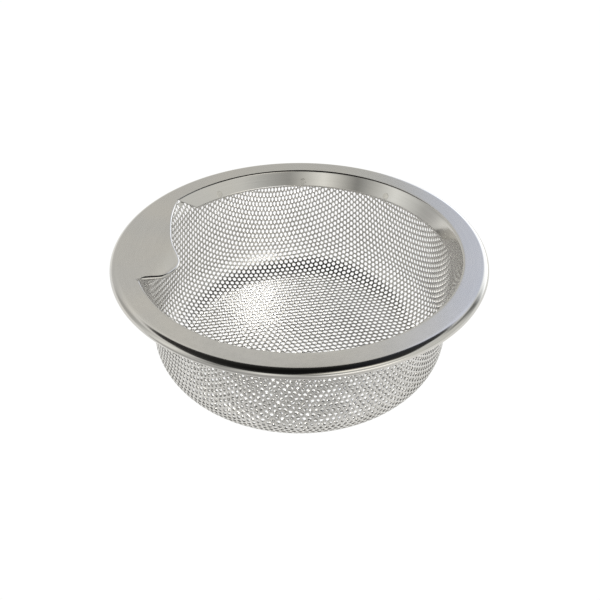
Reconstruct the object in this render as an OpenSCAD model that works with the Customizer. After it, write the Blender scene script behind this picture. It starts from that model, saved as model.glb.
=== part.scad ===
// Sink-drain basket strainer: a drawn sheet-steel rim ring with a finger tab,
// spot-welded to a deep-drawn perforated cup.
// Origin: centre of the flat base, on its underside. +Z up, tab towards -X.

/* [Rim ring] */
// Outer radius of the rolled edge
rim_r = 72.5; // [68:0.5:80]
// Sheet thickness of the rim ring
rim_t = 0.6; // [0.5:0.1:0.8]
// Radius of the small roll at the outer edge
roll_r = 1.35; // [1.2:0.05:1.6]
// Radius of the shoulder that leads from the flat flange into the roll
shoulder_r = 2.8; // [2.2:0.1:3.4]
// Angle at which the shoulder hands over to the roll
shoulder_a = 30; // [20:5:45]
// Radius at which the flat flange ends, at the mouth
flat_in = 63.4; // [62:0.1:65]
// Radius of the bend from the flange down into the neck
mouth_bend = 0.9; // [0.8:0.1:1.5]
// Slope of the neck's funnel, from upright
neck_a = 26.9; // [15:0.1:35]
// Height of the neck's lower edge below the flange
neck_drop = 6.6; // [5:0.1:9]
// Slope of the neck's two ends beside the tab, from upright
neck_end_a = 50; // [40:5:60]

/* [Finger tab] */
// Half of the angle that the tab takes out of the neck
tab_half = 28.5; // [24:0.5:32]
// Distance of the tab's bend line from the axis
tab_bend_x = 57; // [54:0.5:58]
// Radius of the tab's downward bend
tab_bend_r = 45; // [30:5:90]

/* [Perforated cup] */
// Overall height, from the underside of the base to the top of the flange
height = 50; // [40:1:60]
// Sheet thickness of the cup
cup_t = 0.5; // [0.4:0.1:0.6]
// Clearance between the neck and the cup that is welded round it
seam = 0.1; // [0.05:0.05:0.2]
// Height of the straight collar of the cup, under its flared lip
collar_h = 7; // [5:0.5:9]
// How far the cup's flared lip stops short of the mouth bend
lip_short = 0.8; // [0.5:0.1:2]
// How much the wall draws in between the collar and the base
draft = 0.7; // [0:0.1:1.5]
// Outer radius of the rounded edge between wall and base
base_round = 14.3; // [8:0.1:16]

/* [Spot welds] */
// Number of spot welds round the seam
weld_n = 8; // [6:1:12]
// Diameter of one weld nugget
weld_d = 3; // [2:0.5:3]

/* [Hidden] */
smooth = 96;
arc_n = 14;

// The neck's funnel is a straight line in section: a point at a distance along it, down
// from the mouth bend, and an offset through the sheets, outwards from its inner face
fun_top = [flat_in - mouth_bend * cos(neck_a), -mouth_bend + mouth_bend * sin(neck_a)];
function funnel(along, off) = [
    fun_top[0] - along * sin(neck_a) + off * cos(neck_a),
    fun_top[1] - along * cos(neck_a) - off * sin(neck_a)
];
fun_len = (neck_drop + fun_top[1]) / cos(neck_a);
neck_r = funnel(fun_len, 0)[0];          // inner radius of the neck's lower edge
cup_in = 60.2;                           // inside of the cup's collar
cup_r = cup_in + cup_t;                  // outside of the cup's collar
// where the collar, at radius r, turns into the flared lip at that offset
function flare_z(r, off) = let (p = funnel(0, off)) p[1] - (p[0] - r) / tan(neck_a);
roll_x = rim_r - roll_r;                 // centre of the roll
roll_z = -(shoulder_r - (shoulder_r - roll_r) * sin(shoulder_a));
shoulder_x = roll_x - (shoulder_r - roll_r) * cos(shoulder_a);
cup_top = height + floor(flare_z(cup_r, rim_t + seam + cup_t) * 10) / 10; // top of the collar
collar_low = cup_top - collar_h;
weld_z = height - 4.6;
tab_join = flat_in + 1.5;                // how far the tab's blank reaches under the flange's own metal

// Points on an arc about c, radius r, from angle a to angle b
function arc(c, r, a, b, n = arc_n) =
    [for (i = [0:n]) let (t = a + (b - a) * i / n) [c[0] + r * cos(t), c[1] + r * sin(t)]];
// Points on a cubic curve from p0 to p3, pulled towards p1 and p2
function cubic(p0, p1, p2, p3, n = arc_n) =
    [for (i = [0:n]) let (t = i / n, u = 1 - t)
        u*u*u * p0 + 3*u*u*t * p1 + 3*u*t*t * p2 + t*t*t * p3];
function reversed(v) = [for (i = [len(v) - 1:-1:0]) v[i]];

// Flat flange and rolled edge in section, top of the flange at 0
module flange_section() {
    polygon(concat(
        [[flat_in, 0]],
        arc([shoulder_x, -shoulder_r], shoulder_r, 90, shoulder_a, 8),
        arc([roll_x, roll_z], roll_r, shoulder_a, -205, 24),
        reversed(arc([roll_x, roll_z], roll_r - rim_t, shoulder_a, -205, 24)),
        reversed(arc([shoulder_x, -shoulder_r], shoulder_r - rim_t, 90, shoulder_a, 8)),
        [[flat_in, -rim_t]]
    ));
}

// Mouth bend and neck in section
module neck_section() {
    polygon(concat(
        [[flat_in + 0.2, 0]],
        arc([flat_in, -mouth_bend], mouth_bend, 90, 180 - neck_a, 6),
        [funnel(fun_len, 0), funnel(fun_len, rim_t)],
        reversed(arc([flat_in, -mouth_bend], mouth_bend - rim_t, 90, 180 - neck_a, 6)),
        [[flat_in + 0.2, -rim_t]]
    ));
}

// Outline of the tab seen from above, from the +Y corner round to the -Y corner
function tab_outline() = concat(
    cubic([-55.0, 30.0], [-56.1, 19.1], [-53.3, 9.6], [-51.6, 3.1]),
    cubic([-51.6, 3.1], [-48.1, -10.3], [-41.7, -10.6], [-44.6, -19.8]),
    cubic([-44.6, -19.8], [-47.1, -27.4], [-49.4, -25.6], [-55.6, -30.0])
);

// The tab's blank: its outline, carried back into the flange
module tab_blank() {
    a0 = 180 - tab_half;
    a1 = 180 + tab_half;
    polygon(concat(
        tab_outline(),
        [for (i = [0:12]) let (t = a1 + (a0 - a1) * i / 12) tab_join * [cos(t), sin(t)]]
    ));
}

// The bent sheet that the tab is cut from, in section: x towards -X of the part
module tab_section() {
    span = 20;
    polygon(concat(
        [[-70, 0], [-tab_bend_x, 0]],
        arc([-tab_bend_x, -tab_bend_r], tab_bend_r, 90, 90 - span),
        reversed(arc([-tab_bend_x, -tab_bend_r], tab_bend_r - rim_t, 90, 90 - span)),
        [[-tab_bend_x, -rim_t], [-70, -rim_t]]
    ));
}

module tab() {
    intersection() {
        translate([0, 0, -20]) linear_extrude(height = 21) tab_blank();
        rotate([90, 0, 0]) translate([0, 0, -40]) linear_extrude(height = 80) tab_section();
    }
}

// One weld nugget's axis, through both sheets
module weld_bars() {
    for (i = [0:weld_n - 1])
        // even steps round the seam, clear of the tab
        rotate([0, 0, -180 + tab_half + (360 - 2 * tab_half) * (i + 0.5) / weld_n])
            translate([neck_r + (neck_drop - 4.6) * tan(neck_a), 0, weld_z])
                rotate([0, 90 + neck_a, 0]) translate([0, 0, -1.5]) cylinder(d = weld_d, h = 4, $fn = 32);
}

module rim_ring() {
    color([0.70, 0.69, 0.67])
    difference() {
        union() {
            translate([0, 0, height]) rotate_extrude($fn = smooth) flange_section();
            difference() {
                translate([0, 0, height])
                    rotate([0, 0, -180 + tab_half])
                        rotate_extrude(angle = 360 - 2 * tab_half, $fn = smooth) neck_section();
                // the neck's two ends rise on a slope to the tab's corners
                for (side = [-1, 1])
                    rotate([0, 0, 180 + side * tab_half])
                        translate([50, 0, height - 0.7])
                            rotate([side * neck_end_a, 0, 0])
                                translate([0, side > 0 ? -14 : 0, -20]) cube([20, 14, 20]);
            }
            translate([0, 0, height]) tab();
        }
        weld_bars();
    }
}

// Outside of the cup in section, then its inside one sheet thickness in
function cup_path(off) = let (
    foot = cup_r - draft,
    cz = base_round,
    cx = foot - base_round
) concat(
    [let (p = funnel(lip_short, rim_t + seam + cup_t - off)) [p[0], height + p[1]],
     [cup_r - off, height + flare_z(cup_r - off, rim_t + seam + cup_t - off)],
     [cup_r - off, collar_low]],
    arc([cx, cz], base_round - off, 0, -90)
);

module perforated_cup() {
    color([0.74, 0.74, 0.73])
    difference() {
        rotate_extrude($fn = smooth)
            polygon(concat(
                cup_path(0), [[0, 0], [0, cup_t]],
                reversed(cup_path(cup_t))
            ));
        weld_bars();
    }
}

module spot_welds() {
    color([0.62, 0.61, 0.60])
    intersection() {
        weld_bars();
        translate([0, 0, height]) rotate_extrude($fn = smooth) polygon([
            funnel(0.6, 0), funnel(0.6, rim_t + seam + cup_t),
            funnel(fun_len - 0.1, rim_t + seam + cup_t), funnel(fun_len - 0.1, 0)
        ]);
    }
}

rim_ring();
perforated_cup();
spot_welds();
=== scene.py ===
import bpy
import math
import numpy as np
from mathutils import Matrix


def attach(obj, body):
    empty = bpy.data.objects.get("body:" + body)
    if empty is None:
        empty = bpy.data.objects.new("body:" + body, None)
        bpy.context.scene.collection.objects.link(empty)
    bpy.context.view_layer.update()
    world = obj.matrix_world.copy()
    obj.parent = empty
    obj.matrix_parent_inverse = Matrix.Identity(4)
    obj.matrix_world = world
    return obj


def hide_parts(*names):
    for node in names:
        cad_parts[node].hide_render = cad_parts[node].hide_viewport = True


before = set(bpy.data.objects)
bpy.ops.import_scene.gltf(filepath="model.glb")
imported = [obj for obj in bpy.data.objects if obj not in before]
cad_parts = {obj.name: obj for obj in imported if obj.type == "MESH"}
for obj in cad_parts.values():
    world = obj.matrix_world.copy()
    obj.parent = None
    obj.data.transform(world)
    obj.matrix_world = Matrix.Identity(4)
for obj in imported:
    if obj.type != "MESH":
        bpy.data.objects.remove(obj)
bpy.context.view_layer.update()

MM = 0.001
TOP = 50.0                      # height of the flange above the base, mm

# ---------------------------------------------------------------- camera
cam_data = bpy.data.cameras.new("view_camera")
cam_data.sensor_width = 36.0
cam_data.lens = 41.476
cam_data.clip_start = 0.01
cam_data.clip_end = 20.0
cam = bpy.data.objects.new("view_camera", cam_data)
cam.location = (0.02492, -0.22529, 0.19624)
cam.rotation_euler = (math.radians(52.58), 0.0, math.radians(6.25))
bpy.context.scene.collection.objects.link(cam)
bpy.context.scene.camera = cam


# ---------------------------------------------------------------- mesh helpers
def make_object(name, verts_mm, faces, uv=None, sharp=None):
    """verts in mm; uv per vertex; sharp is an array of vertex pairs that stay crisp."""
    me = bpy.data.meshes.new(name)
    me.from_pydata((np.asarray(verts_mm) * MM).tolist(), [], faces)
    me.update()
    me.polygons.foreach_set("use_smooth", np.ones(len(me.polygons), dtype=bool))
    if sharp is not None and len(sharp):
        n = len(me.vertices)
        ev = np.empty(len(me.edges) * 2, dtype=np.int64)
        me.edges.foreach_get("vertices", ev)
        ev = np.sort(ev.reshape(-1, 2), axis=1)
        key = ev[:, 0] * n + ev[:, 1]
        sh = np.sort(np.asarray(sharp, dtype=np.int64), axis=1)
        skey = sh[:, 0] * n + sh[:, 1]
        att = me.attributes.new("sharp_edge", "BOOLEAN", "EDGE")
        att.data.foreach_set("value", np.isin(key, skey))
    if uv is not None:
        layer = me.uv_layers.new(name="OFBake")
        lv = np.empty(len(me.loops), dtype=np.int64)
        me.loops.foreach_get("vertex_index", lv)
        layer.data.foreach_set("uv", np.asarray(uv, dtype=np.float32)[lv].ravel())
    ob = bpy.data.objects.new(name, me)
    bpy.context.scene.collection.objects.link(ob)
    return ob


def arc(cx, cz, r, a0, a1, n):
    a = np.radians(np.linspace(a0, a1, n))
    return np.stack([cx + r * np.cos(a), cz + r * np.sin(a)], axis=1)


# ---------------------------------------------------------------- rim ring
SHEET = 0.6
FLAT_IN = 63.4                  # where the mouth bend starts
BEND = 0.9
NECK_A = math.radians(26.9)     # slope of the neck's funnel, from upright
SH_X, SH_R = 69.894, 2.8
RO_X, RO_Z, RO_R = 71.15, -2.075, 1.35
NECK_DROP = -6.6
GAP = 28.5                      # half angle of the tongue's opening
TONGUE = 27.75                  # half angle of the tongue's root, a slit either side
FUN = (FLAT_IN - BEND * math.cos(NECK_A), -BEND + BEND * math.sin(NECK_A))
FUN_LEN = (6.6 + FUN[1]) / math.cos(NECK_A)
STEP_F, STEP_C = 0.375, 0.75


def smoothstep(t):
    t = np.clip(t, 0.0, 1.0)
    return t * t * (3 - 2 * t)


def funnel(along, off):
    """A point in the funnel's section: along it from the mouth bend, off through the sheets."""
    return (FUN[0] - along * math.sin(NECK_A) + off * math.cos(NECK_A),
            FUN[1] - along * math.cos(NECK_A) - off * math.sin(NECK_A))


def outline(n):
    segs = [
        ((-55.0, 30.0), (-56.1, 19.1), (-53.3, 9.6), (-51.6, 3.1)),
        ((-51.6, 3.1), (-48.1, -10.3), (-41.7, -10.6), (-44.6, -19.8)),
        ((-44.6, -19.8), (-47.1, -27.4), (-49.4, -25.6), (-55.6, -30.0)),
    ]
    pts = []
    for p0, p1, p2, p3 in segs:
        t = np.linspace(0, 1, 400)[:, None]
        p0, p1, p2, p3 = map(np.array, (p0, p1, p2, p3))
        pts.append((1 - t) ** 3 * p0 + 3 * (1 - t) ** 2 * t * p1 + 3 * (1 - t) * t * t * p2 + t ** 3 * p3)
    p = np.concatenate([pts[0], pts[1][1:], pts[2][1:]])
    # pull both ends onto the root's corners
    for end, sgn in ((0, 1.0), (-1, -1.0)):
        a = math.radians(TONGUE)
        target = np.array([-62.75 * math.cos(a), sgn * 62.75 * math.sin(a)])
        d = np.r_[0, np.cumsum(np.hypot(*np.diff(p, axis=0).T))]
        d = d if end == 0 else d[-1] - d
        w = (1 - smoothstep(d / 9.0))[:, None]
        p = p + w * (target - p[end])
    # soften the corners between the three curves
    d = np.r_[0, np.cumsum(np.hypot(*np.diff(p, axis=0).T))]
    u = np.linspace(0, d[-1], n)
    q = np.stack([np.interp(u, d, p[:, 0]), np.interp(u, d, p[:, 1])], axis=1)
    for _ in range(6):
        q[1:-1] = 0.25 * q[:-2] + 0.5 * q[1:-1] + 0.25 * q[2:]
    return q


def tab_z(x):
    dx = np.clip(x + 57.0, 0, None)
    return -(45.0 - np.sqrt(45.0 ** 2 - dx ** 2))


def build_rim():
    # columns round the axis: fine across the tongue, coarser elsewhere
    fine = np.arange(180 - GAP, 180 + GAP + 1e-6, STEP_F)
    coarse = np.arange(180 + GAP + STEP_C, 360 + 180 - GAP - 1e-6, STEP_C)
    th = np.radians(np.r_[fine, coarse])
    nf, nc = len(fine), len(th)
    c, s = np.cos(th), np.sin(th)

    top = np.concatenate([
        np.stack([np.linspace(FLAT_IN, SH_X, 10), np.zeros(10)], axis=1)[:-1],
        arc(SH_X, -SH_R, SH_R, 90, 30, 13)[:-1],
        arc(RO_X, RO_Z, RO_R, 30, -205, 44),
    ])
    bot = np.concatenate([
        np.stack([np.linspace(FLAT_IN, SH_X, 10), np.full(10, -SHEET)], axis=1)[:-1],
        arc(SH_X, -SH_R, SH_R - SHEET, 90, 30, 13)[:-1],
        arc(RO_X, RO_Z, RO_R - SHEET, 30, -205, 44),
    ])[::-1]
    ring = np.concatenate([top, bot])
    nr = len(ring)
    verts, uvs, faces, sharp = [], [], [], []
    arcl = np.r_[0, np.cumsum(np.hypot(*np.diff(ring, axis=0).T))]
    for k, (r, z) in enumerate(ring):
        verts.append(np.stack([r * c, r * s, np.full(nc, z + TOP)], axis=1))
        uvs.append(np.stack([np.r_[np.linspace(0, 0.97, nc)], np.full(nc, 0.02 + 0.60 * arcl[k] / arcl[-1])], axis=1))
    for k in range(nr - 1):
        for j in range(nc):
            j2 = (j + 1) % nc
            a, b, d, e = k * nc + j, k * nc + j2, (k + 1) * nc + j2, (k + 1) * nc + j
            faces.append((a, e, d, b))
    for k in (len(top) - 1, len(top)):
        sharp += [(k * nc + j, k * nc + (j + 1) % nc) for j in range(nc)]
    count = nr * nc
    top0, bot0 = 0, (nr - 1) * nc

    # neck, everywhere but across the tongue; its ends rise on a slope beside it
    cols = list(range(nf - 1, nc)) + [0]
    nm = len(cols)
    cc, ss = c[cols], s[cols]
    off_deg = np.degrees(th[cols] - th[nf - 1])
    off_deg[-1] = 360 - 2 * GAP
    from_end = np.minimum(off_deg, 360 - 2 * GAP - off_deg)
    depth = 0.75 + np.radians(from_end) * 61.0 / math.tan(math.radians(50))
    length = np.clip((depth + FUN[1]) / math.cos(NECK_A), 0.2, FUN_LEN)
    neck = []                                           # rows of (r, z) arrays
    for r, z in arc(FLAT_IN, -BEND, BEND, 90, 180 - 26.9, 8)[1:]:
        neck.append((np.full(nm, r), np.full(nm, z)))
    for t in np.linspace(0, 1, 9)[1:]:
        neck.append(funnel(t * (length - 0.12), 0.0))
    neck.append(funnel(length, 0.12))
    half = len(neck)
    neck.append(funnel(length, SHEET - 0.12))
    for t in np.linspace(0, 1, 9)[1:][::-1]:
        neck.append(funnel(t * (length - 0.12), SHEET))
    for r, z in arc(FLAT_IN, -BEND, BEND - SHEET, 90, 180 - 26.9, 8)[1:][::-1]:
        neck.append((np.full(nm, r), np.full(nm, z)))
    nn = len(neck)
    for k, (r, z) in enumerate(neck):
        verts.append(np.stack([r * cc, r * ss, z + TOP], axis=1))
        uvs.append(np.stack([np.linspace(0.25, 0.97, nm), np.full(nm, 0.64 + 0.20 * k / nn)], axis=1))
    rows = [[top0 + j for j in cols]] + [[count + k * nm + i for i in range(nm)] for k in range(nn)] + [[bot0 + j for j in cols]]
    for k in range(len(rows) - 1):
        for i in range(nm - 1):
            faces.append((rows[k][i], rows[k][i + 1], rows[k + 1][i + 1], rows[k + 1][i]))
    for i, flip in ((0, True), (nm - 1, False)):          # the neck's two cut ends
        a = [rows[k][i] for k in range(half + 1)]
        b = [rows[len(rows) - 1 - k][i] for k in range(half + 1)]
        for k in range(half):
            q = (a[k], b[k], b[k + 1], a[k + 1])
            faces.append(q if flip else q[::-1])
            sharp += [(a[k], a[k + 1]), (b[k], b[k + 1])]
    count += nn * nm

    # the slits beside the tongue's root
    slit = int(round((GAP - TONGUE) / STEP_F))
    for j0 in list(range(0, slit)) + list(range(nf - 1 - slit, nf - 1)):
        faces.append((top0 + j0, top0 + j0 + 1, bot0 + j0 + 1, bot0 + j0))
        sharp += [(top0 + j0, top0 + j0 + 1), (bot0 + j0, bot0 + j0 + 1)]

    # tongue
    tcols = list(range(slit, nf - slit))
    nt = len(tcols)
    A = np.stack([FLAT_IN * c[tcols], FLAT_IN * s[tcols]], axis=1)
    B = outline(nt)
    tang = np.gradient(B, axis=0)
    tang /= np.linalg.norm(tang, axis=1)[:, None]
    nout = np.stack([-tang[:, 1], tang[:, 0]], axis=1)
    mid = B[nt // 2]
    if np.dot(nout[nt // 2], -mid) < 0:
        nout = -nout
    d = np.linalg.norm(B - A, axis=1)
    # the tongue's edge is turned down in a small lip that dies away at both corners
    sc = smoothstep((d - 0.4) / 3.5)
    ro = 0.06 + 0.94 * sc
    ri = np.clip(ro - SHEET, 0.0, None)
    drop = np.maximum(ro, SHEET)
    C = B - nout * ro[:, None]
    pts = []
    for t in np.linspace(0, 1, 18)[1:-1]:
        q = A + (C - A) * t
        pts.append(np.column_stack([q, tab_z(q[:, 0])]))
    zc = tab_z(C[:, 0])
    lip = []
    for a in np.radians(np.linspace(90, 4, 12)):
        lip.append(np.column_stack([C + nout * (ro * math.cos(a))[:, None], zc - ro + ro * math.sin(a)]))
    end = drop + 0.25 * sc
    lip.append(np.column_stack([C + nout * (ro - 0.04)[:, None], zc - end]))
    lip.append(np.column_stack([C + nout * (ri + 0.04 * sc)[:, None], zc - end]))
    for a in np.radians(np.linspace(4, 90, 6)):
        lip.append(np.column_stack([C + nout * (ri * math.cos(a))[:, None], zc - drop + ri * math.sin(a)]))
    under = [np.column_stack([q[:, :2], q[:, 2] - SHEET]) for q in pts[::-1]]
    allrows = pts + lip + under
    base = count
    for k, q in enumerate(allrows):
        q = q.copy(); q[:, 2] += TOP
        verts.append(q)
        uvs.append(np.stack([np.linspace(0.02, 0.22, nt), np.full(nt, 0.64 + 0.34 * k / len(allrows))], axis=1))
    rows = [[top0 + j for j in tcols]] + [[base + k * nt + i for i in range(nt)] for k in range(len(allrows))] + [[bot0 + j for j in tcols]]
    for k in range(len(rows) - 1):
        for i in range(nt - 1):
            faces.append((rows[k][i], rows[k][i + 1], rows[k + 1][i + 1], rows[k + 1][i]))
    nrow = len(rows)
    for i in (0, nt - 1):                                 # the tongue's two sides
        for k in range(nrow // 2 - 1):
            faces.append((rows[k][i], rows[k + 1][i], rows[nrow - 2 - k][i], rows[nrow - 1 - k][i]))
    ob = make_object("rim_sheet", np.concatenate(verts), faces, np.concatenate(uvs), np.array(sharp))
    tidy(ob)
    return ob


def tidy(ob):
    """Merges doubled points and drops collapsed faces."""
    import bmesh
    bm = bmesh.new()
    bm.from_mesh(ob.data)
    bmesh.ops.remove_doubles(bm, verts=bm.verts, dist=2e-6)
    bmesh.ops.dissolve_degenerate(bm, dist=1e-6, edges=bm.edges)
    bmesh.ops.recalc_face_normals(bm, faces=bm.faces)
    bm.to_mesh(ob.data)
    bm.free()


# ---------------------------------------------------------------- perforated cup
PITCH, HOLE = 2.45, 0.875
LAT = 16.75                     # direction of one row of holes, degrees
T_CUP = 0.5


def cup_path():
    pts = [(r, 0.25) for r in np.linspace(0, 45.7, 60)]
    pts += [tuple(p) for p in arc(45.7, 14.3, 14.05, -90, 0, 90)[1:]]
    mid = 0.6 + 0.1 + 0.5 * T_CUP
    low = funnel(0.0, mid)
    turn = TOP + low[1] - (low[0] - 60.45) / math.tan(NECK_A)     # the collar turns into the flared lip
    for z in np.linspace(14.3, turn, 110)[1:]:
        pts.append((59.75 + 0.7 * float(smoothstep((z - 14.3) / (36.1 - 14.3))), z))
    full = math.hypot(low[0] - 60.45, TOP + low[1] - turn)
    for a in np.linspace(full, 0.8, 24)[1:]:
        r, z = funnel(a, mid)
        pts.append((r, TOP + z))
    pts = np.array(pts)
    k = pts[:, 1] > 40.0
    for _ in range(10):                                           # ease the turn
        q = pts.copy()
        q[1:-1] = 0.25 * pts[:-2] + 0.5 * pts[1:-1] + 0.25 * pts[2:]
        pts = np.where(k[:, None], q, pts)
    return pts


PATH = cup_path()
PS = np.r_[0, np.cumsum(np.hypot(*np.diff(PATH, axis=0).T))]
S_FLAT = 45.7
S_FIL = S_FLAT + 14.05 * math.pi / 2
RHO_FIL = S_FLAT + 1.07 * (S_FIL - S_FLAT)
RHO = np.interp(PS, [0, S_FLAT, S_FIL, PS[-1]], [0, S_FLAT, RHO_FIL, RHO_FIL + 0.87 * (PS[-1] - S_FIL)])
TAN = np.gradient(PATH, PS, axis=0)
TAN /= np.linalg.norm(TAN, axis=1)[:, None]
NOR = np.stack([-TAN[:, 1], TAN[:, 0]], axis=1)      # towards the inside of the cup
RHO_TOP = RHO[-1]


def on_cup(xy, side):
    """A point of the flat blank to its place on the drawn cup; side +1 inside, -1 outside."""
    rho = np.hypot(xy[:, 0], xy[:, 1])
    phi = np.arctan2(xy[:, 1], xy[:, 0])
    r = np.interp(rho, RHO, PATH[:, 0]) + side * 0.5 * T_CUP * np.interp(rho, RHO, NOR[:, 0])
    z = np.interp(rho, RHO, PATH[:, 1]) + side * 0.5 * T_CUP * np.interp(rho, RHO, NOR[:, 1])
    r = np.maximum(r, 0)
    return np.stack([r * np.cos(phi), r * np.sin(phi), z], axis=1)


def build_cup():
    a1, a2 = math.radians(LAT), math.radians(LAT + 60)
    e1 = PITCH * np.array([math.cos(a1), math.sin(a1)])
    e2 = PITCH * np.array([math.cos(a2), math.sin(a2)])
    n = int(RHO_TOP / PITCH * 1.3) + 2
    ij = np.array([(i, j) for i in range(-n, n + 1) for j in range(-n, n + 1)])
    cen = ij[:, :1] * e1 + ij[:, 1:] * e2
    dist = np.hypot(cen[:, 0], cen[:, 1])
    keep = dist < RHO_TOP + PITCH * 0.6
    cen, dist = cen[keep], dist[keep]
    rc = PITCH / math.sqrt(3)
    ang = np.radians(LAT + 30 + 30 * np.arange(12))
    rad = np.where(np.arange(12) % 2 == 0, rc, rc * math.cos(math.radians(30)))
    hexo = np.stack([rad * np.cos(ang), rad * np.sin(ang)], axis=1)
    hol = HOLE * np.stack([np.cos(ang), np.sin(ang)], axis=1)
    bev = (HOLE + BEVEL) * np.stack([np.cos(ang), np.sin(ang)], axis=1)
    obs = []
    for name, lo, hi in (("cup_floor", -1, 48.0), ("cup_corner", 48.0, 70.2), ("cup_wall_low", 70.2, 85.0), ("cup_wall_high", 85.0, 999.0)):
        sel = (dist >= lo) & (dist < hi)
        cc, dd = cen[sel], dist[sel]
        holed = dd < RHO_TOP - HOLE - 0.25
        pts, faces, kinds = [], [], []
        base = 0
        # cells with a hole
        H = cc[holed]
        m = len(H)
        P = np.concatenate([H[:, None, :] + hexo[None], H[:, None, :] + bev[None], H[:, None, :] + hol[None]], axis=1).reshape(-1, 2)
        lvl = np.tile(np.r_[np.zeros(12), np.zeros(12), np.ones(12)], m)
        idx = (np.arange(m) * 36)[:, None]
        k = np.arange(12)[None]; k2 = (np.arange(12)[None] + 1) % 12
        Q1 = np.stack([idx + k, idx + k2, idx + 12 + k2, idx + 12 + k], axis=2).reshape(-1, 4)
        Q2 = np.stack([idx + 12 + k, idx + 12 + k2, idx + 24 + k2, idx + 24 + k], axis=2).reshape(-1, 4)
        # solid cells at the cut edge
        Sx = cc[~holed]
        ms = len(Sx)
        PS_ = np.concatenate([Sx[:, None, :] + hexo[None], Sx[:, None, :]], axis=1).reshape(-1, 2) if ms else np.zeros((0, 2))
        off = m * 36
        idx2 = off + (np.arange(ms) * 13)[:, None]
        TR = np.stack([idx2 + k, idx2 + k2, idx2 + 12 + 0 * k], axis=2).reshape(-1, 3) if ms else np.zeros((0, 3), int)
        allp = np.concatenate([P, PS_])
        level = np.concatenate([lvl, np.zeros(len(PS_))])
        rr = np.hypot(allp[:, 0], allp[:, 1])
        over = rr > RHO_TOP
        allp[over] *= (RHO_TOP / rr[over])[:, None]
        keyp = np.round(allp * 2000).astype(np.int64)
        uniq, first, inv = np.unique(keyp, axis=0, return_index=True, return_inverse=True)
        inv = inv.ravel()
        up, ul, uo = allp[first], level[first], over[first]
        quads, tris = inv[np.concatenate([Q1, Q2])], inv[TR]
        fl = [tuple(q) for q in quads.tolist()] + [tuple(q) for q in tris.tolist()]
        clean = []
        for f in fl:
            g = [f[i] for i in range(len(f)) if f[i] != f[(i + 1) % len(f)]]
            if len(g) >= 3 and not all(uo[i] for i in g):
                clean.append(tuple(g))
        nv = len(up)
        # edges used once are either a hole's edge or the piece's border
        ed = {}
        for f in clean:
            for i in range(len(f)):
                a, b = f[i], f[(i + 1) % len(f)]
                ed[(a, b)] = ed.get((a, b), 0) + 1
        border = [(a, b) for (a, b) in ed if (b, a) not in ed]
        # inside surface has the bevel, so its hole points sit a little lower
        vin = on_cup(up, 1.0)
        vlow = on_cup(up, 1.0 - 2 * BEVEL_D / T_CUP)
        vin = np.where((ul > 0.5)[:, None], vlow, vin)
        vout = on_cup(up, -1.0)
        vlow = on_cup(up, -1.0 + 2 * BEVEL_D / T_CUP)
        vout = np.where((ul > 0.5)[:, None], vlow, vout)
        faces = list(clean) + [tuple(nv + i for i in f[::-1]) for f in clean]
        faces += [(b, a, nv + a, nv + b) for a, b in border]
        sharp = [(a, b) for a, b in border] + [(nv + a, nv + b) for a, b in border]
        uvi = 0.25 + 0.24 * up / RHO_TOP
        uvo = np.column_stack([0.75 + 0.24 * up[:, 0] / RHO_TOP, 0.25 + 0.24 * up[:, 1] / RHO_TOP])
        ob = make_object(name, np.concatenate([vin, vout]), faces, np.concatenate([uvi, uvo]), np.array(sharp))
        obs.append(ob)
    return obs


BEVEL, BEVEL_D = 0.07, 0.06


# ---------------------------------------------------------------- spot welds
def build_welds():
    verts, faces = [], []
    n = 28
    rings = [0.0, 0.5, 0.9, 1.2, 1.38, 1.5]
    for i in range(8):
        az = math.radians(-180 + 28.5 + 303 * (i + 0.5) / 8)
        ax = np.array([math.cos(az), math.sin(az), 0.0])
        tg = np.array([-math.sin(az), math.cos(az), 0.0])
        up = np.array([0.0, 0.0, 1.0])
        w = math.cos(NECK_A) * ax - math.sin(NECK_A) * up         # outwards, square to the sheets
        sl = math.sin(NECK_A) * ax + math.cos(NECK_A) * up        # up the funnel's slope
        r0 = 59.5 + 2.0 * math.tan(NECK_A)
        p0 = ax * r0 + up * (TOP - 4.6)
        base = len(verts)
        for side, off in ((-1, 0.0), (1, 1.2)):
            for r in rings:
                m = 1 if r == 0 else n
                for k in range(m):
                    a = 2 * math.pi * k / n
                    u, v = r * math.cos(a), r * math.sin(a)
                    # a low collar round a shallow dish
                    h = 0.010 + 0.018 * math.exp(-((r - 1.15) / 0.2) ** 2)
                    if r >= 1.5:
                        h = -0.05
                    sag = u * u * math.cos(NECK_A) / (2 * (r0 + off))
                    verts.append(p0 + tg * u + sl * v + w * (off + side * h - sag))
        per = 1 + n * (len(rings) - 1)
        for sidx in (0, 1):
            b = base + sidx * per
            for k in range(n):
                k2 = (k + 1) % n
                f = [(b, b + 1 + k, b + 1 + k2)]
                for q in range(len(rings) - 2):
                    p0, p1 = b + 1 + q * n, b + 1 + (q + 1) * n
                    f.append((p0 + k, p1 + k, p1 + k2, p0 + k2))
                faces += [g if sidx == 1 else g[::-1] for g in f]
        o1, o2 = base + per - n, base + 2 * per - n
        for k in range(n):
            k2 = (k + 1) % n
            faces.append((o1 + k, o1 + k2, o2 + k2, o2 + k))
    ob = make_object("weld_nuggets", np.array(verts), faces)
    tidy(ob)
    return ob


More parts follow.
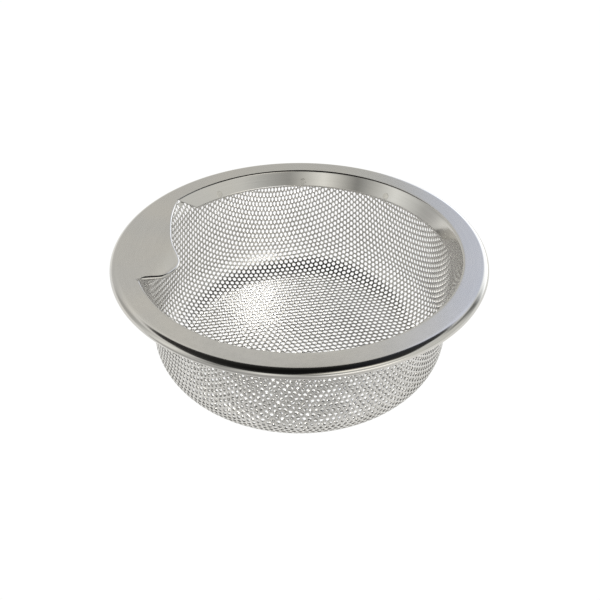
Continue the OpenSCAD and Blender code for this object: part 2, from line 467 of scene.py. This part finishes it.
# ---------------------------------------------------------------- materials
class Nodes:
    def __init__(self, tree):
        self.t = tree
        self.n = tree.nodes
        self.l = tree.links

    def add(self, kind, **props):
        nd = self.n.new(kind)
        for k, v in props.items():
            setattr(nd, k, v)
        return nd

    def put(self, sock, val):
        if hasattr(val, "is_output"):
            self.l.new(val, sock)
        else:
            sock.default_value = val

    def math(self, op, a, b=0.0, clamp=False):
        nd = self.add("ShaderNodeMath", operation=op, use_clamp=clamp)
        self.put(nd.inputs[0], a)
        self.put(nd.inputs[1], b)
        return nd.outputs[0]

    def ramp(self, fac, stops, mode="LINEAR"):
        nd = self.add("ShaderNodeValToRGB")
        cr = nd.color_ramp
        cr.interpolation = mode
        while len(cr.elements) > 1:
            cr.elements.remove(cr.elements[-1])
        cr.elements[0].position = stops[0][0]
        cr.elements[0].color = stops[0][1] if isinstance(stops[0][1], tuple) else (stops[0][1],) * 3 + (1,)
        for p, col in stops[1:]:
            e = cr.elements.new(p)
            e.color = col if isinstance(col, tuple) else (col,) * 3 + (1,)
        self.put(nd.inputs[0], fac)
        return nd.outputs[0]

    def noise(self, vec, scale, detail=3.0, rough=0.5, dims="3D"):
        nd = self.add("ShaderNodeTexNoise", noise_dimensions=dims)
        self.put(nd.inputs["Vector"], vec)
        nd.inputs["Scale"].default_value = scale
        nd.inputs["Detail"].default_value = detail
        nd.inputs["Roughness"].default_value = rough
        return nd.outputs["Fac"]

    def maprange(self, v, a, b, c, d):
        nd = self.add("ShaderNodeMapRange")
        for i, x in enumerate((v, a, b, c, d)):
            self.put(nd.inputs[i], x)
        return nd.outputs[0]

    def mix(self, f, a, b, blend="MIX"):
        nd = self.add("ShaderNodeMix", data_type="RGBA", blend_type=blend)
        self.put(nd.inputs[0], f)
        self.put(nd.inputs[6], a)
        self.put(nd.inputs[7], b)
        return nd.outputs[2]

    def combine(self, x, y, z):
        nd = self.add("ShaderNodeCombineXYZ")
        for i, v in enumerate((x, y, z)):
            self.put(nd.inputs[i], v)
        return nd.outputs[0]


def new_material(name):
    m = bpy.data.materials.new(name)
    m.use_nodes = True
    m.node_tree.nodes.clear()
    g = Nodes(m.node_tree)
    out = g.add("ShaderNodeOutputMaterial")
    bs = g.add("ShaderNodeBsdfPrincipled")
    g.l.new(bs.outputs[0], out.inputs[0])
    co = g.add("ShaderNodeTexCoord").outputs["Object"]
    sep = g.add("ShaderNodeSeparateXYZ")
    g.l.new(co, sep.inputs[0])
    x, y, z = sep.outputs
    rad = g.math("SQRT", g.math("ADD", g.math("MULTIPLY", x, x), g.math("MULTIPLY", y, y)))
    ang = g.math("ARCTAN2", y, x)
    return m, g, bs, co, x, y, z, rad, ang


def rim_material():
    m, g, bs, co, x, y, z, rad, ang = new_material("rim_satin_steel")
    # fine turning grain: long round the axis, narrow across it
    polar = g.combine(g.math("MULTIPLY", ang, 1.4), g.math("MULTIPLY", rad, 1000.0), g.math("MULTIPLY", z, 1000.0))
    grain = g.noise(polar, 5.0, 4.0, 0.62)
    grain2 = g.noise(polar, 1.3, 3.0, 0.6)
    blotch = g.noise(co, 38.0, 3.0, 0.5)
    specks = g.noise(co, 650.0, 3.0, 0.55)
    mixg = g.math("ADD", g.math("MULTIPLY", grain, 0.6), g.math("MULTIPLY", grain2, 0.4))
    col = g.ramp(mixg, [(0.30, (0.600, 0.588, 0.566, 1)), (0.70, (0.668, 0.656, 0.634, 1))])
    tint = g.ramp(blotch, [(0.35, (0.955, 0.96, 0.97, 1)), (0.65, (1.0, 0.99, 0.975, 1))])
    g.put(bs.inputs["Base Color"], g.mix(1.0, col, tint, "MULTIPLY"))
    # polished where the edge is rolled and where the neck is drawn down, satin on the flat
    roll = g.maprange(rad, 0.0692, 0.0702, 0.0, 1.0)
    neck = g.maprange(z, 0.04985, 0.0492, 0.0, 1.0)
    shiny = g.math("MAXIMUM", roll, neck)
    rough = g.math("ADD", g.maprange(mixg, 0.3, 0.7, 0.17, 0.23), g.maprange(specks, 0.4, 0.7, 0.0, 0.03))
    g.put(bs.inputs["Roughness"], g.math("MULTIPLY", rough, g.maprange(shiny, 0.0, 1.0, 1.0, 0.5)))
    bs.inputs["Metallic"].default_value = 1.0
    bs.inputs["Anisotropic"].default_value = 0.3
    tn = g.add("ShaderNodeTangent", direction_type="RADIAL", axis="Z")
    g.l.new(tn.outputs[0], bs.inputs["Tangent"])
    bump = g.add("ShaderNodeBump")
    bump.inputs["Strength"].default_value = 0.25
    bump.inputs["Distance"].default_value = 0.00001
    g.put(bump.inputs["Height"], mixg)
    wide = g.add("ShaderNodeBump")
    wide.inputs["Strength"].default_value = 1.0
    wide.inputs["Distance"].default_value = 0.0004
    g.put(wide.inputs["Height"], g.noise(co, 26.0, 1.0, 0.4))
    g.l.new(wide.outputs[0], bump.inputs["Normal"])
    g.l.new(bump.outputs[0], bs.inputs["Normal"])
    return m


def mesh_material():
    m, g, bs, co, x, y, z, rad, ang = new_material("perforated_steel_sheet")
    blotch = g.noise(co, 70.0, 3.0, 0.5)
    fine = g.noise(co, 1500.0, 3.0, 0.6)
    wave = g.noise(co, 160.0, 2.0, 0.5)
    col = g.ramp(blotch, [(0.32, (0.60, 0.59, 0.57, 1)), (0.68, (0.71, 0.70, 0.685, 1))])
    g.put(bs.inputs["Base Color"], col)
    g.put(bs.inputs["Roughness"], g.math("ADD", g.maprange(fine, 0.3, 0.7, 0.11, 0.17), g.maprange(blotch, 0.3, 0.7, -0.02, 0.04)))
    bs.inputs["Metallic"].default_value = 1.0
    b1 = g.add("ShaderNodeBump")
    b1.inputs["Strength"].default_value = 0.5
    b1.inputs["Distance"].default_value = 0.00007
    g.put(b1.inputs["Height"], wave)
    b2 = g.add("ShaderNodeBump")
    b2.inputs["Strength"].default_value = 0.3
    b2.inputs["Distance"].default_value = 0.00002
    g.put(b2.inputs["Height"], fine)
    g.l.new(b1.outputs[0], b2.inputs["Normal"])
    g.l.new(b2.outputs[0], bs.inputs["Normal"])
    return m


def weld_material():
    m, g, bs, co, x, y, z, rad, ang = new_material("weld_steel_tinted")
    n = g.noise(co, 1300.0, 3.0, 0.6)
    g.put(bs.inputs["Base Color"], g.ramp(n, [(0.3, (0.53, 0.51, 0.475, 1)), (0.7, (0.63, 0.615, 0.585, 1))]))
    g.put(bs.inputs["Roughness"], g.maprange(n, 0.3, 0.7, 0.12, 0.24))
    bs.inputs["Metallic"].default_value = 1.0
    bump = g.add("ShaderNodeBump")
    bump.inputs["Strength"].default_value = 0.4
    bump.inputs["Distance"].default_value = 0.00003
    g.put(bump.inputs["Height"], n)
    g.l.new(bump.outputs[0], bs.inputs["Normal"])
    return m


# ---------------------------------------------------------------- pieces
rim = build_rim()
cups = build_cup()
welds = build_welds()
m_rim, m_mesh, m_weld = rim_material(), mesh_material(), weld_material()
rim.data.materials.append(m_rim)
for ob in cups:
    ob.data.materials.append(m_mesh)
welds.data.materials.append(m_weld)

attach(rim, "root"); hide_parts("rim_ring")
for ob in cups:
    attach(ob, "root"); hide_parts("perforated_cup")
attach(welds, "root"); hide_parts("spot_welds")

# ---------------------------------------------------------------- floor
FL = 3.0
fme = bpy.data.meshes.new("studio_floor")
fme.from_pydata([(-FL, -FL, -0.0003), (FL, -FL, -0.0003), (FL, FL, -0.0003), (-FL, FL, -0.0003)], [], [(0, 1, 2, 3)])
floor = bpy.data.objects.new("studio_floor", fme)
bpy.context.scene.collection.objects.link(floor)
fm = bpy.data.materials.new("studio_white")
fm.use_nodes = True
fm.node_tree.nodes.clear()
g = Nodes(fm.node_tree)
out = g.add("ShaderNodeOutputMaterial")
em = g.add("ShaderNodeEmission")
em.inputs[0].default_value = (1.0, 1.0, 1.0, 1)
em.inputs[1].default_value = 1.02
dim = g.add("ShaderNodeEmission")
dim.inputs[0].default_value = (1.0, 0.995, 0.97, 1)
fco = g.add("ShaderNodeTexCoord").outputs["Object"]
fsp = g.add("ShaderNodeSeparateXYZ")
g.l.new(fco, fsp.inputs[0])
cf, sf = math.cos(math.radians(6.25)), math.sin(math.radians(6.25))
fx = g.math("ADD", g.math("MULTIPLY", fsp.outputs[0], cf), g.math("MULTIPLY", fsp.outputs[1], sf))
fy = g.math("SUBTRACT", g.math("MULTIPLY", fsp.outputs[1], cf), g.math("MULTIPLY", fsp.outputs[0], sf))
shade = g.math("MULTIPLY", g.maprange(fy, -0.058, -0.085, 0.0, 1.0), g.maprange(fx, 0.02, 0.10, 1.0, 0.0))
g.put(dim.inputs[1], g.maprange(shade, 0.0, 1.0, 0.98, 0.50))
pick = g.add("ShaderNodeMixShader")
g.l.new(g.add("ShaderNodeLightPath").outputs["Is Camera Ray"], pick.inputs[0])
g.l.new(dim.outputs[0], pick.inputs[1])
g.l.new(em.outputs[0], pick.inputs[2])
g.l.new(pick.outputs[0], out.inputs[0])
fme.materials.append(fm)

# ---------------------------------------------------------------- light
world = bpy.data.worlds.new("studio_world")
bpy.context.scene.world = world
world.use_nodes = True
world.node_tree.nodes.clear()
g = Nodes(world.node_tree)
out = g.add("ShaderNodeOutputWorld")
bg = g.add("ShaderNodeBackground")
g.l.new(bg.outputs[0], out.inputs[0])
tc = g.add("ShaderNodeTexCoord")
sp = g.add("ShaderNodeSeparateXYZ")
g.l.new(tc.outputs["Generated"], sp.inputs[0])
dx, dy, dz = sp.outputs
ca, sa = math.cos(math.radians(6.25)), math.sin(math.radians(6.25))
rx = g.math("ADD", g.math("MULTIPLY", dx, ca), g.math("MULTIPLY", dy, sa))      # to the right of the view
by = g.math("SUBTRACT", g.math("MULTIPLY", dy, ca), g.math("MULTIPLY", dx, sa))  # away from the viewer
# bright round the sides, dark overhead; the dark comes lower in front
lift = g.math("ADD", g.math("MAXIMUM", dz, 0.0), g.math("MULTIPLY", g.math("MAXIMUM", g.math("MULTIPLY", by, -1.0), 0.0), 0.33))
height = g.ramp(lift, [
    (0.00, 1.00), (0.12, 0.74), (0.24, 0.66), (0.45, 0.64), (0.57, 0.665), (0.665, 0.87), (0.705, 0.78), (0.75, 0.05), (1.0, 0.008)])
side = g.ramp(g.math("ADD", g.math("MULTIPLY", rx, 0.5), 0.5), [
    (0.0, (1.10, 1.09, 1.05, 1)), (0.40, (1.08, 1.065, 1.01, 1)), (0.50, (1.0, 0.99, 0.935, 1)), (0.57, (1.0, 1.0, 0.96, 1)),
    (0.605, (1.13, 1.19, 1.38, 1)), (0.70, (1.11, 1.17, 1.33, 1)), (0.80, (1.0, 1.01, 0.98, 1)), (1.0, (0.97, 0.99, 0.96, 1))])
colw = g.mix(1.0, height, side, "MULTIPLY")


def towards(az_deg, el_deg):
    """How nearly a direction points to this azimuth, clockwise from straight away, and elevation."""
    a, e = math.radians(az_deg), math.radians(el_deg)
    return g.math("ADD", g.math("ADD", g.math("MULTIPLY", rx, math.sin(a) * math.cos(e)),
                                g.math("MULTIPLY", by, math.cos(a) * math.cos(e))), g.math("MULTIPLY", dz, math.sin(e)))


# dark flags at both sides of the set
colw = g.mix(1.0, colw, g.ramp(towards(-72, 19), [(0.0, 1.0), (0.95, 1.0), (0.982, 0.75), (1.0, 0.7)]), "MULTIPLY")
colw = g.mix(1.0, colw, g.ramp(towards(66, 27), [(0.0, 1.0), (0.94, 1.0), (0.978, 0.35), (1.0, 0.3)]), "MULTIPLY")
# a tall window low on the right, and a soft warm box low in front
colw = g.mix(1.0, colw, g.ramp(towards(38, 8), [(0.0, 0.0), (0.88, 0.0), (0.955, (0.95, 0.98, 1.0, 1)), (1.0, (1.1, 1.12, 1.15, 1))]), "ADD")
dot = towards(180 - 33, 20)
blob = g.ramp(dot, [(0.0, 0.0), (0.80, 0.0), (0.875, (0.30, 0.29, 0.26, 1)), (0.94, (1.5, 1.45, 1.33, 1)), (1.0, (1.7, 1.66, 1.55, 1))])
colw = g.mix(1.0, colw, blob, "ADD")
# what stands low behind the viewer, by angle from the viewer's own place: panels with dark gaps between
turn = g.math("ADD", g.math("MULTIPLY", g.math("ARCTAN2", rx, g.math("MULTIPLY", by, -1.0)), 0.5 / math.pi), 0.5)
stops = [(-100, 0.6), (-75, 1.1), (-45, 0.3), (-18, 1.1), (8, 0.4), (45, 0.8)]
panels = g.ramp(turn, [(a / 360.0 + 0.5, (v, v, v * 0.955, 1)) for a, v in stops])
low = g.math("MULTIPLY", g.maprange(dz, 0.12, 0.22, 0.0, 1.0), g.maprange(dz, 0.50, 0.60, 1.0, 0.0))
low = g.math("MULTIPLY", low, g.maprange(by, 0.15, 0.40, 1.0, 0.0))
colw = g.mix(low, colw, panels)
seen = g.mix(g.add("ShaderNodeLightPath").outputs["Is Camera Ray"], colw, (1.02, 1.02, 1.02, 1))
g.l.new(seen, bg.inputs[0])
bg.inputs[1].default_value = 1.0


def in_view_frame(x, y, z):
    """mm in the camera's own upright frame, to metres in the model's"""
    return ((x * ca - y * sa) * MM, (x * sa + y * ca) * MM, z * MM)


LAMP = 0.05


def area(name, loc, target, size, power, color=(1, 1, 1)):
    ld = bpy.data.lights.new(name, "AREA")
    ld.shape = "RECTANGLE"
    ld.size, ld.size_y = size
    ld.energy = power
    ld.color = color
    ob = bpy.data.objects.new(name, ld)
    ob.location = loc
    from mathutils import Vector
    d = Vector(target) - Vector(loc)
    ob.rotation_euler = d.to_track_quat("-Z", "Y").to_euler()
    bpy.context.scene.collection.objects.link(ob)
    return ob


# a small soft lamp close behind the cup: it shines through the wall onto the base
lamp = area("back_lamp", in_view_frame(-30, 150, 92), in_view_frame(-18, 28, 0), (0.026, 0.040), LAMP, (1.0, 0.985, 0.94))
lamp.visible_camera = False
lit = bpy.data.collections.new("lit_by_back_lamp")
for ob in cups:
    lit.objects.link(ob)
lamp.light_linking.receiver_collection = lit
key = area("soft_key", in_view_frame(900, -1500, 900), in_view_frame(0, 0, 30), (0.6, 0.5), 3.0, (1.0, 0.98, 0.94))
key.visible_camera = False
key.light_linking.receiver_collection = lit

bpy.context.scene.view_settings.view_transform = "Standard"
bpy.context.scene.view_settings.look = "None"
